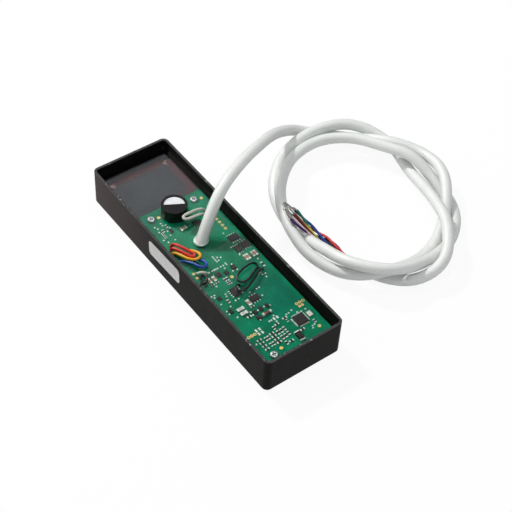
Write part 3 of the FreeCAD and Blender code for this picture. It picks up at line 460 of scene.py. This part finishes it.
def green_board_material():
    """Green solder mask over copper areas, with faint gaps, fine tracks, small vias and a darker plane."""
    material = surface("green_board_look", [(0.0, 0.140, 0.070), (0.0, 0.205, 0.104)], blotch=0.1,
                       roughness=(0.3, 0.45), grain=1.2, bump=0.008, gloss=0.06)
    tree, colour, plain = colour_of(material)
    place = axes_of(tree)
    plane = calculate(tree, "MULTIPLY", between(tree, place["Y"], PLANE_ACROSS),
                      between(tree, place["X"], PLANE_ALONG))
    in_patch = remap(tree, noise_from(tree, *TRACK_PATCH_NOISE), TRACK_PATCHES)
    gaps = cell_edge(tree, AREA_SCALE, "CHEBYCHEV", AREA_GAP_WIDTH)
    tracks = calculate(tree, "MULTIPLY", cell_edge(tree, TRACK_SCALE, "MANHATTAN", TRACK_WIDTH), in_patch)
    spots = calculate(tree, "LESS_THAN", cell_distance(tree, VIA_SCALE), VIA_RADIUS)
    vias = calculate(tree, "MULTIPLY", spots, in_patch)
    blended = plain
    for amount, share, paint in ((plane, PLANE_SHARE, PLANE_GREEN), (gaps, AREA_GAP_SHARE, AREA_GAP_GREEN),
                                 (tracks, TRACK_SHARE, TRACK_GREEN), (vias, VIA_SHARE, VIA_COLOUR)):
        blended = blend_colours(tree, calculate(tree, "MULTIPLY", amount, share), blended, paint)
    tree.links.new(blended, colour)
    return material


# Copper band, in millimetres: where it gets clear towards the far side and the antenna end.
BAND_SIDE = (8.0, 15.0)
BAND_END = (-58.0, -63.0)
BAND_NOISE = (0.22, 3.0)
BAND_PATCHES = (0.35, 0.6)
BAND_LEAST = 0.45
BARE_BOARD_GREY = (0.046, 0.047, 0.056)


def copper_material():
    """Reddish track band under dark solder mask, clearer at the antenna end and the far side."""
    material = surface("copper_track_look", [(0.092, 0.031, 0.036), (0.140, 0.045, 0.050)], blotch=0.5,
                       roughness=(0.35, 0.5), gloss=0.06)
    tree, colour, plain = colour_of(material)
    place = axes_of(tree)
    clear = calculate(tree, "MAXIMUM", step_up(tree, place["Y"], BAND_SIDE),
                      step_up(tree, place["X"], BAND_END))
    patches = remap(tree, noise_from(tree, *BAND_NOISE), BAND_PATCHES, (BAND_LEAST, 1.0))
    amount = calculate(tree, "MULTIPLY", clear, patches)
    tree.links.new(blend_colours(tree, amount, BARE_BOARD_GREY, plain), colour)
    return material


# Painted shade in the recess of the screw head, from ambient occlusion.
RECESS_REACH = 0.9
RECESS_SAMPLES = 8
RECESS_EDGES = (0.45, 0.85)
RECESS_PAINTED_SHADE = (0.03, 0.035, 0.035)


def screw_material():
    """Bright steel with painted shade in the recess of the head."""
    material = surface("screw_steel_look", [(0.40, 0.42, 0.44), (0.66, 0.68, 0.70)], blotch=0.8,
                       roughness=(0.16, 0.32), metallic=0.85, bump=0.01, edge=0.12)
    tree, colour, plain = colour_of(material)
    # Painted shade: ambient occlusion darkens the recess.
    shade_in_recess = add_node(tree, "ShaderNodeAmbientOcclusion", Distance=RECESS_REACH * MM)
    shade_in_recess.samples = RECESS_SAMPLES
    unshaded_part = remap(tree, shade_in_recess.outputs["AO"], RECESS_EDGES)
    tree.links.new(blend_colours(tree, unshaded_part, RECESS_PAINTED_SHADE, plain), colour)
    return material


WIRE_COLOURS = {
    "wire_red": (0.66, 0.008, 0.006),
    "wire_yellow": (0.84, 0.40, 0.01),
    "wire_blue": (0.005, 0.055, 0.34),
    "wire_white": (0.62, 0.60, 0.52),
    "wire_black": (0.005, 0.005, 0.006),
    "wire_green": (0.0, 0.24, 0.20),
    "wire_brown": (0.26, 0.035, 0.015),
    "wire_pink": (0.78, 0.62, 0.62),
    "wire_purple": (0.055, 0.012, 0.14),
}
PLAIN_LOOKS = {
    "grey_board": dict(colours=[(0.042, 0.043, 0.051), (0.050, 0.051, 0.061)],
                       blotch=0.1, roughness=(0.3, 0.45), grain=1.2, bump=0.008, gloss=0.06),
    "gold_plate": dict(colours=[(0.62, 0.40, 0.13), (0.78, 0.55, 0.24)],
                       blotch=1.5, roughness=(0.25, 0.4), metallic=0.6, gloss=0.2),
    "solder": dict(colours=[(0.48, 0.50, 0.49), (0.70, 0.72, 0.70)],
                   blotch=1.5, roughness=(0.25, 0.45), metallic=0.45, bump=0.02, gloss=0.2),
    "chip_black": dict(colours=[(0.020, 0.016, 0.019), (0.032, 0.026, 0.030)],
                       blotch=1.2, roughness=(0.42, 0.6), grain=8.0, bump=0.008, edge=0.08, gloss=0.12),
    "capacitor_tan": dict(colours=[(0.30, 0.17, 0.12), (0.42, 0.26, 0.19)],
                          blotch=1.0, roughness=(0.4, 0.55), edge=0.1, gloss=0.15),
    "capacitor_silver": dict(colours=[(0.42, 0.43, 0.41), (0.56, 0.56, 0.54)],
                             blotch=0.8, roughness=(0.35, 0.5), edge=0.1, gloss=0.15),
    "resistor_dark": dict(colours=[(0.020, 0.020, 0.025), (0.042, 0.042, 0.048)],
                          blotch=1.5, roughness=(0.35, 0.5), edge=0.06, gloss=0.12),
    "crystal_can": dict(colours=[(0.55, 0.52, 0.46), (0.74, 0.71, 0.65)],
                        blotch=0.6, roughness=(0.2, 0.35), metallic=0.6, edge=0.12),
    "diode_glass": dict(colours=[(0.18, 0.05, 0.03), (0.26, 0.08, 0.05)],
                        blotch=1.0, roughness=(0.1, 0.2), coat=0.5),
    "buzzer_black": dict(colours=[(0.004, 0.0035, 0.004), (0.008, 0.0075, 0.008)],
                         blotch=0.6, roughness=(0.24, 0.36), grain=4.0, bump=0.01, edge=0.15, gloss=0.25),
    "buzzer_brass": dict(colours=[(0.55, 0.42, 0.16), (0.66, 0.50, 0.22)],
                         blotch=0.5, roughness=(0.2, 0.35), metallic=0.8),
    "buzzer_white": dict(colours=[(0.70, 0.70, 0.66), (0.78, 0.78, 0.74)],
                         blotch=0.8, roughness=(0.5, 0.7)),
    "white_paper": dict(colours=[(0.66, 0.68, 0.71), (0.76, 0.78, 0.80)],
                        blotch=0.35, roughness=(0.45, 0.6), grain=6.0, bump=0.01),
    "light_body": dict(colours=[(0.75, 0.72, 0.55), (0.82, 0.80, 0.66)],
                       blotch=1.0, roughness=(0.2, 0.3), coat=0.4),
    "pipe_clear": dict(colours=[(0.60, 0.63, 0.65), (0.70, 0.73, 0.75)],
                       blotch=0.4, roughness=(0.08, 0.16), coat=0.6),
    "tinned_copper": dict(colours=[(0.36, 0.35, 0.32), (0.60, 0.58, 0.54)],
                          blotch=2.0, roughness=(0.25, 0.4), metallic=0.6),
}
LOOKS = {
    "tray_plastic": tray_material(),
    "clear_resin": resin_material(),
    "green_board": green_board_material(),
    "copper_track": copper_material(),
    "screw_steel": screw_material(),
    "cable_white": cable_material(),
    "wire_striped": striped_material(),
}
for slot, look in PLAIN_LOOKS.items():
    LOOKS[slot] = surface(slot + "_look", **look)
for slot, colour in WIRE_COLOURS.items():
    LOOKS[slot] = vinyl(slot + "_look", colour)
AGED_SOLDER = surface("aged_solder_look", [(0.085, 0.045, 0.045), (0.20, 0.13, 0.12)], blotch=1.2,
                      roughness=(0.2, 0.35), metallic=0.2, bump=0.05, grain=2.5, gloss=0.4)
LABEL_PAPER = surface("label_paper_look", [(0.535, 0.530, 0.530), (0.605, 0.600, 0.600)], blotch=0.35,
                      roughness=(0.45, 0.6), grain=6.0, bump=0.01)
SLOT_OF = {row["node"]: row["material_slot"] for row in frame["record"]["subparts"]}

for node_name, node in nodes.items():
    node.data.materials.clear()
    node.data.materials.append(LOOKS[SLOT_OF[node_name]])
nodes["antenna_joints"].data.materials[0] = AGED_SOLDER
nodes["side_label"].data.materials[0] = LABEL_PAPER


# Helpers for new pieces

def metres(points):
    """Millimetres to metres."""
    return [Vector(point) * MM for point in points]


def finish_piece(piece, slot, *stands_for):
    """Give a new piece its material and its body, and hide the solids that it stands for."""
    piece.data.materials.append(LOOKS[slot])
    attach(piece, "root")
    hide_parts(*stands_for)
    return piece


def add_object(name, data):
    """A new object in the scene."""
    added = bpy.data.objects.new(name, data)
    bpy.context.scene.collection.objects.link(added)
    return added


def mesh_piece(name, bm, smooth=True):
    """A mesh object from a bmesh."""
    mesh = bpy.data.meshes.new(name)
    bm.to_mesh(mesh)
    bm.free()
    for face in mesh.polygons:
        face.use_smooth = smooth
    return add_object(name, mesh)


SPLINE_ORDER = 3
SPLINE_STEPS = 8
WIRE_ROUNDNESS = 6
CABLE_ROUNDNESS = 10


def add_spline(data, points):
    """A smooth spline with the points as its control points."""
    spline = data.splines.new("NURBS")
    spline.points.add(len(points) - 1)
    for place, point in zip(spline.points, points):
        place.co = (*point, 1.0)
    spline.order_u = SPLINE_ORDER
    spline.use_endpoint_u = True
    spline.resolution_u = SPLINE_STEPS


def wire_piece(name, lines, diameter):
    """A round wire along one or more smooth lines."""
    data = bpy.data.curves.new(name, "CURVE")
    data.dimensions = "3D"
    data.bevel_depth = diameter * MM / 2
    data.bevel_resolution = WIRE_ROUNDNESS
    data.use_fill_caps = True
    for points in lines:
        add_spline(data, points)
    return add_object(name, data)


# Camera

camera_data = bpy.data.cameras.new("photo_camera")
camera_data.lens = CAMERA_LENS
camera_data.sensor_width = CAMERA_SENSOR
camera_data.clip_start = CAMERA_NEAR
camera_data.clip_end = CAMERA_FAR
camera = add_object("photo_camera", camera_data)
camera.location = CAMERA_PLACE
camera.rotation_euler = [math.radians(turn) for turn in CAMERA_TURN]
bpy.context.scene.camera = camera


# Cable

def coil_points():
    """Points of the coil, step by step round its centre."""
    points = []
    for index, (radius, height) in enumerate(zip(COIL_RADII, COIL_HEIGHTS)):
        angle = math.radians(COIL_START_ANGLE - index * COIL_STEP)
        x = COIL_CENTRE[0] + radius * math.cos(angle)
        y = COIL_CENTRE[1] + radius * math.sin(angle)
        points.append(Vector((x, y, height)))
    return points


coil = coil_points()
cable_points = [Vector(point) for point in LEAD_POINTS] + coil
cable = wire_piece("cable", [metres(cable_points)], CABLE_DIAMETER)
cable.data.bevel_resolution = CABLE_ROUNDNESS
finish_piece(cable, "cable_white", "cable_lead", "cable_coil")


# Conductors

def conductor_path(name, layer, place, face, direction):
    """One conductor: it leaves the cut cable in its own place and twists out to its tip."""
    rank = place - (len(CORE_LAYERS[layer]) - 1) / 2
    side = layer - (len(CORE_LAYERS) - 1) / 2
    sideways = direction.cross(UP)
    core = sideways * rank * CABLE_CORE_PITCH + UP * side * CABLE_CORE_PITCH
    start = [face + core, face + core + direction * CABLE_DIAMETER / 2]
    return start + [Vector(point) for point in CONDUCTOR_POINTS[name]]


def strand_lines(name, path):
    """The bare strands at the end of one conductor, twisted round each other."""
    lean, length = TIP_LEANS[name]
    along = (path[-1] - path[-2]).normalized()
    direction = (along + Vector(lean)).normalized()
    across = direction.cross(UP).normalized()
    over = across.cross(direction)
    lines = []
    for strand in range(STRAND_COUNT):
        line = []
        for step in range(STRAND_STEPS + 1):
            share = step / STRAND_STEPS
            angle = 2 * math.pi * (strand / STRAND_COUNT + STRAND_TURNS * share)
            ring = across * math.cos(angle) + over * math.sin(angle)
            bend = along.lerp(direction, share)
            line.append(path[-1] + bend * length * share + ring * STRAND_CIRCLE)
        lines.append(metres(line))
    return lines


end_direction = (coil[-1] - coil[-2]).normalized()
all_strands = []
for layer, names in enumerate(CORE_LAYERS):
    for place, name in enumerate(names):
        path = conductor_path(name, layer, place, coil[-1], end_direction)
        conductor = wire_piece(name + "_wire", [metres(path)], CONDUCTOR_DIAMETER)
        finish_piece(conductor, SLOT_OF[name], name)
        all_strands.extend(strand_lines(name, path))
strands = wire_piece("bare_strands", all_strands, STRAND_DIAMETER)
finish_piece(strands, "tinned_copper", "conductor_tips")


# Resin

MENISCUS_RISE = 0.22
MENISCUS_REACH = 0.6
CORNER_RISE = 0.7
CORNER_REACH = 1.4
ROUND_RISE = 0.3
ROUND_REACH = 0.6
FOOT_RISE = 0.5
FOOT_REACH = 0.8
WAVE_HEIGHT = 0.006
WAVE_ALONG = 0.31
WAVE_BEND = 0.8
WAVE_BEND_STEP = 0.21
WAVE_ACROSS = 0.27
WAVE_SLANT = 0.5 / 3
# Round things that stand out of the resin: centre and radius.
BUZZER_SPOT = (-31.0, -0.7, 6.45)
FOOT_SPOT = (-7.95, -0.7, 2.95)
SKIN_STEP = 0.7
FOOT_LINE_STEP = 0.35
FOOT_LINES = 16
WALL_STEPS = [0.0, 0.08, 0.2, 0.35, 0.55, 0.8, 1.1, 1.5, 2.0]
RESIN_SINK = 0.06


def wall_distance(x, y):
    """How far a place is from the inside of the tray's wall, with its round corners."""
    over_x = abs(x) - CORNER_X
    over_y = abs(y) - CORNER_Y
    outside = math.hypot(max(over_x, 0), max(over_y, 0))
    return INNER_RADIUS - outside - min(max(over_x, over_y), 0)


def resin_height(x, y):
    """The resin's level: it climbs at the walls, round the buzzer and round the cable."""
    height = RESIN_LEVEL + MENISCUS_RISE * math.exp(-max(wall_distance(x, y), 0) / MENISCUS_REACH)
    from_corner = max(INNER_HALF_LENGTH - abs(x), 0) + max(INNER_HALF_WIDTH - abs(y), 0)
    height += CORNER_RISE * math.exp(-from_corner / CORNER_REACH)
    for (cx, cy, radius), rise, reach in ((BUZZER_SPOT, ROUND_RISE, ROUND_REACH),
                                          (FOOT_SPOT, FOOT_RISE, FOOT_REACH)):
        gap = max(math.hypot(x - cx, y - cy) - radius, 0)
        height += rise * math.exp(-gap / reach)
    height += WAVE_HEIGHT * math.sin(WAVE_ALONG * x + WAVE_BEND * math.sin(WAVE_BEND_STEP * y))
    height += WAVE_HEIGHT * math.sin(WAVE_ACROSS * y + WAVE_SLANT * x)
    return height


def skin_lines(half):
    """Grid lines from wall to wall, closer together near the walls and past them a little."""
    near = [half + RESIN_SINK - step for step in WALL_STEPS]
    count = round(2 * near[-1] / SKIN_STEP)
    inner = [-near[-1] + 2 * near[-1] * index / count for index in range(1, count)]
    return [-value for value in near] + inner + near[::-1]


def on_round_corner(x, y):
    """A place of the square grid, which is moved inwards where the block's corners are round."""
    over_x = max(abs(x) - CORNER_X, 0)
    over_y = max(abs(y) - CORNER_Y, 0)
    if not (over_x and over_y):
        return x, y
    scale = max(over_x, over_y) / math.hypot(over_x, over_y)
    return math.copysign(CORNER_X + over_x * scale, x), math.copysign(CORNER_Y + over_y * scale, y)


def make_resin():
    """A closed block of resin with a curved skin on top."""
    xs = skin_lines(INNER_HALF_LENGTH)
    ys = skin_lines(INNER_HALF_WIDTH)
    # The cable's foot gets its own closer lines.
    for centre, lines in ((FOOT_SPOT[0], xs), (FOOT_SPOT[1], ys)):
        lines.extend(centre + FOOT_LINE_STEP * index for index in range(-FOOT_LINES, FOOT_LINES + 1))
        lines.sort()
    bm = bmesh.new()
    top = []
    bottom = []
    for x in xs:
        places = [on_round_corner(x, y) for y in ys]
        top.append([bm.verts.new(Vector((px, py, resin_height(px, py))) * MM) for px, py in places])
        bottom.append([bm.verts.new(Vector((px, py, RESIN_BOTTOM)) * MM) for px, py in places])
    last_x = len(xs) - 1
    last_y = len(ys) - 1
    for i in range(last_x):
        for j in range(last_y):
            bm.faces.new((top[i][j], top[i + 1][j], top[i + 1][j + 1], top[i][j + 1]))
            bm.faces.new((bottom[i][j], bottom[i][j + 1], bottom[i + 1][j + 1], bottom[i + 1][j]))
    for i in range(last_x):
        bm.faces.new((bottom[i][0], bottom[i + 1][0], top[i + 1][0], top[i][0]))
        bm.faces.new((bottom[i + 1][last_y], bottom[i][last_y], top[i][last_y], top[i + 1][last_y]))
    for j in range(last_y):
        bm.faces.new((bottom[0][j + 1], bottom[0][j], top[0][j], top[0][j + 1]))
        bm.faces.new((bottom[last_x][j], bottom[last_x][j + 1], top[last_x][j + 1], top[last_x][j]))
    return mesh_piece("resin_block", bm)


finish_piece(make_resin(), "clear_resin", "potting_resin")


# Cable's foot

FOOT_LEAN = (-0.264, 0.562)
FOOT_NECK = 2.84
FOOT_FLARE = 0.48
FOOT_FLARE_REACH = 0.55
FOOT_STRETCH = 1.10
FOOT_LEVELS = [-0.3, 0.0, 0.25, 0.5, 0.8, 1.2, 1.7, 2.3, 3.0]
FOOT_SIDES = 48


def make_foot():
    """The flared skin where the cable leaves the resin, along the cable's lean."""
    start = Vector(LEAD_POINTS[0])
    lean = Vector((*FOOT_LEAN, 1.0))
    along = Vector((*FOOT_LEAN, 0.0)).normalized()
    across = along.cross(UP)
    bm = bmesh.new()
    rings = []
    for level in FOOT_LEVELS:
        radius = FOOT_NECK + FOOT_FLARE * math.exp(-level / FOOT_FLARE_REACH)
        ring = []
        for side in range(FOOT_SIDES):
            angle = 2 * math.pi * side / FOOT_SIDES
            reach = along * math.cos(angle) * radius * FOOT_STRETCH + across * math.sin(angle) * radius
            ring.append(bm.verts.new((start + lean * level + reach) * MM))
        rings.append(ring)
    for low, high in zip(rings, rings[1:]):
        for side in range(FOOT_SIDES):
            following = (side + 1) % FOOT_SIDES
            bm.faces.new((low[side], low[following], high[following], high[side]))
    bm.faces.new(rings[-1])
    bm.faces.new(rings[0][::-1])
    bmesh.ops.recalc_face_normals(bm, faces=bm.faces)
    return mesh_piece("cable_foot", bm)


foot = finish_piece(make_foot(), "cable_white", "resin_collar")
foot.data.materials[0] = surface("foot_look", [(0.70, 0.72, 0.70), (0.80, 0.82, 0.80)], blotch=0.3,
                                 roughness=(0.05, 0.12), grain=1.0, bump=0.05, coat=0.6)


# Floor, lamps and world

# A ray that has met no dull surface yet has a depth under this.
FIRST_BOUNCE = 0.5


def background_rays(tree, *kinds):
    """One where a ray of the given kinds shows the background and doesn't light a dull surface."""
    path = tree.nodes.new("ShaderNodeLightPath")
    source = path.outputs[kinds[0]]
    for kind in kinds[1:]:
        source = calculate(tree, "MAXIMUM", source, path.outputs[kind])
    direct = calculate(tree, "LESS_THAN", path.outputs["Diffuse Depth"], FIRST_BOUNCE)
    return calculate(tree, "MULTIPLY", source, direct)


WHITE = (1.0, 1.0, 1.0, 1.0)
FLOOR_GREY = (0.9, 0.9, 0.9, 1.0)
FLOOR_ROUGHNESS = 0.9
FLOOR_HALF = 1.5
FLOOR_DROP = 0.05
FLOOR_WHITE_SHARE = 0.92
bm = bmesh.new()
bmesh.ops.create_grid(bm, x_segments=1, y_segments=1, size=FLOOR_HALF)
floor = mesh_piece("floor", bm, smooth=False)
floor.location.z = -FLOOR_DROP * MM
floor_material, tree, shader = start_material("floor_look")
shader.inputs["Base Color"].default_value = FLOOR_GREY
shader.inputs["Roughness"].default_value = FLOOR_ROUGHNESS
glow = add_node(tree, "ShaderNodeEmission", Color=WHITE)
seen = background_rays(tree, "Is Camera Ray", "Is Transmission Ray", "Is Glossy Ray")
amount = calculate(tree, "MULTIPLY", seen, FLOOR_WHITE_SHARE)
mixed = mix_shaders(tree, amount, shader.outputs["BSDF"], glow.outputs["Emission"])
tree.links.new(mixed, tree.nodes["Material Output"].inputs["Surface"])
floor.data.materials.append(floor_material)

# The studio is white at the horizon and towards the antenna end, and darker overhead.
# Only gloss shows that, as a pale haze on the resin over the antenna end.
SKY_COLOUR = (0.96, 0.98, 1.0, 1.0)
SKY_STRENGTH = 0.42
HIGH_SKY_EDGES = (0.2, 0.6)
HIGH_SKY_GLOSS = 0.06
WINDOW_EDGES = (-0.465, -0.575)
WINDOW_GLOSS = 0.80
world = bpy.data.worlds.new("studio")
world.use_nodes = True
bpy.context.scene.world = world
tree = world.node_tree
soft_sky = tree.nodes["Background"]
soft_sky.inputs["Color"].default_value = SKY_COLOUR
soft_sky.inputs["Strength"].default_value = SKY_STRENGTH
white = add_node(tree, "ShaderNodeBackground", Color=WHITE, Strength=1.0)
mirrored = add_node(tree, "ShaderNodeBackground", Color=WHITE)
direction = axes_of(tree, "Generated")
high_sky = remap(tree, direction["Z"], HIGH_SKY_EDGES, (1.0, HIGH_SKY_GLOSS))
window = remap(tree, direction["X"], WINDOW_EDGES, (0.0, WINDOW_GLOSS), smooth=True)
brightest = calculate(tree, "MAXIMUM", high_sky, window)
tree.links.new(brightest, mirrored.inputs["Strength"])
glossy = background_rays(tree, "Is Glossy Ray")
lit = mix_shaders(tree, glossy, soft_sky.outputs["Background"], mirrored.outputs["Background"])
seen = background_rays(tree, "Is Camera Ray", "Is Transmission Ray")
mixed = mix_shaders(tree, seen, lit, white.outputs["Background"])
tree.links.new(mixed, tree.nodes["World Output"].inputs["Surface"])


def add_lamp(name, place, target, size, power, colour):
    """A square soft lamp that faces its target, in metres and watts."""
    data = bpy.data.lights.new(name, "AREA")
    data.size = size
    data.energy = power
    data.color = colour
    lamp = add_object(name, data)
    lamp.location = place
    lamp.rotation_mode = "QUATERNION"
    lamp.rotation_quaternion = (Vector(target) - Vector(place)).to_track_quat("-Z", "Y")


# Each lamp's name, place, target, size, power and colour
LAMPS = [
    ("key_lamp", (-0.85, -0.10, 0.95), (0.0, 0.03, 0.0), 0.10, 10.2, (1.0, 0.99, 0.97)),
    ("top_lamp", (0.1, 0.15, 1.3), (0.0, 0.05, 0.0), 0.7, 2.9, (1.0, 1.0, 1.0)),
    ("front_lamp", (-0.65, -0.75, 0.50), (0.0, 0.0, 0.0), 0.4, 1.8, (1.0, 1.0, 1.0)),
]
for lamp_row in LAMPS:
    add_lamp(*lamp_row)

bpy.context.scene.view_settings.view_transform = "Standard"
